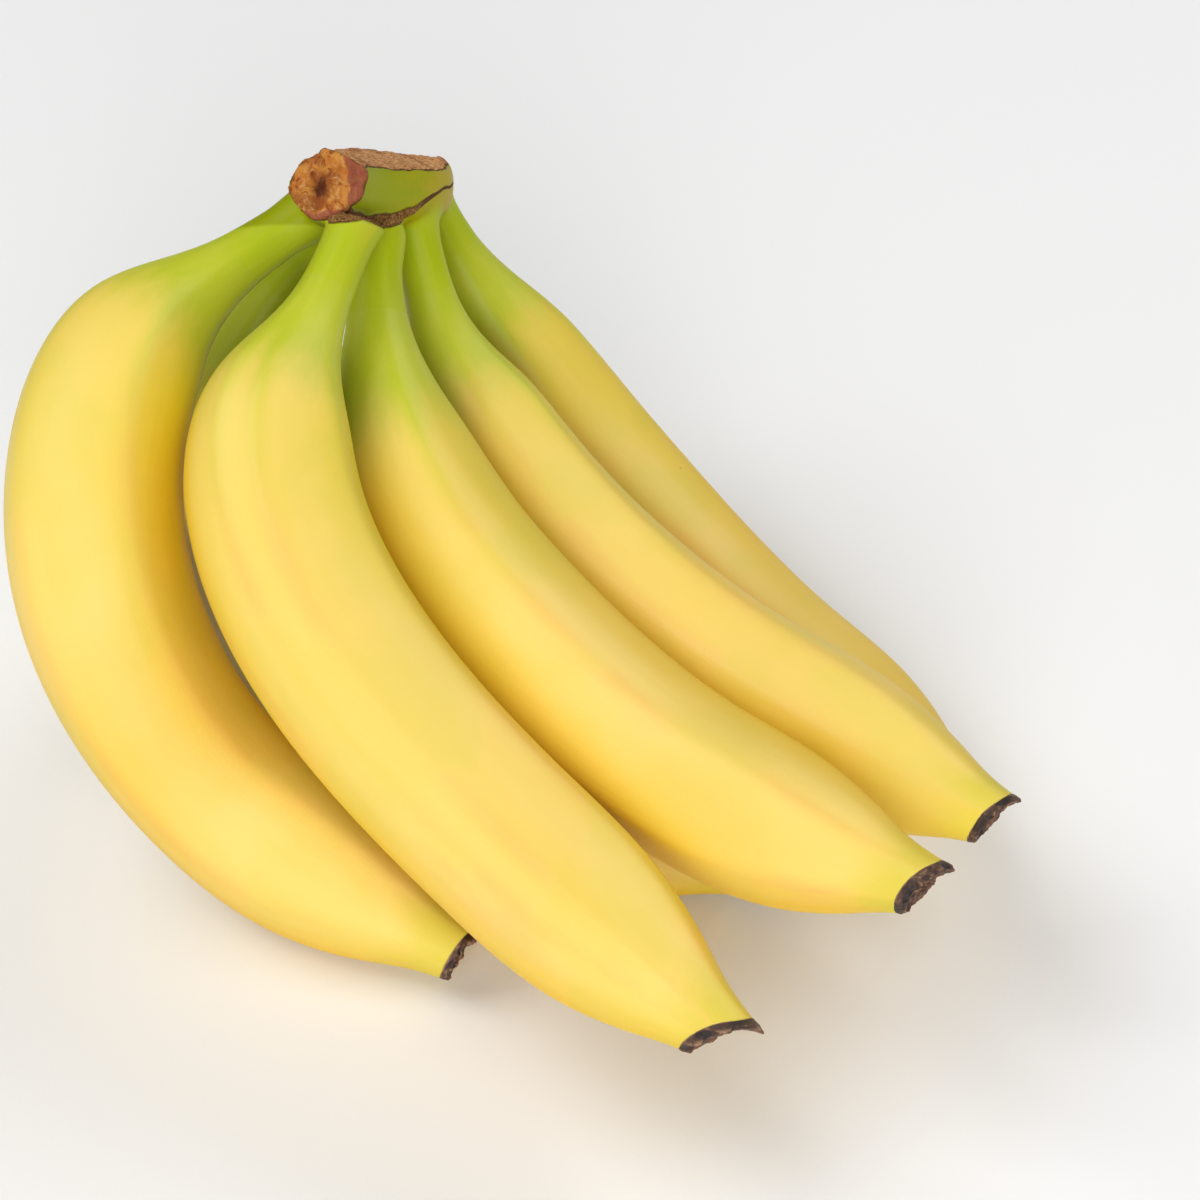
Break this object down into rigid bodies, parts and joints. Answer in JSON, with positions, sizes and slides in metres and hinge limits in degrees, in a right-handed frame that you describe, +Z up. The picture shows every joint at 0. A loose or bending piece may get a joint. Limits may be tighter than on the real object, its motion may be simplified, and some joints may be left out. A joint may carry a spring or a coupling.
{
  "type": "banana bunch",
  "caption": "Bunch of ripe yellow bananas joined at one crown, lying on its lower row, with green necks and dried dark flower ends.",
  "frame": {"origin": "centre of the bunch's footprint, on the surface it lies on", "axes": "+Z up; the flower ends point towards -Y and +X, the crown stands at the back towards -X and +Y"},
  "size_m": [0.2004, 0.1988, 0.1321],
  "materials": {
    "peel": "ripe banana peel, satin and waxy, greener at the neck and just before the tip",
    "crown": "olive green crown skin with dry, brown, fibrous cut faces",
    "blossom": "dried, wrinkled, dull dark brown flower end"
  },
  "bodies": {
    "root": {"crown": "crown", "banana_1": "peel", "banana_2": "peel", "banana_3": "peel", "banana_4": "peel", "banana_5": "peel", "banana_6": "peel", "blossom_tip_1": "blossom", "blossom_tip_2": "blossom", "blossom_tip_3": "blossom", "blossom_tip_4": "blossom", "blossom_tip_5": "blossom", "blossom_tip_6": "blossom"}
  },
  "joints": []
}
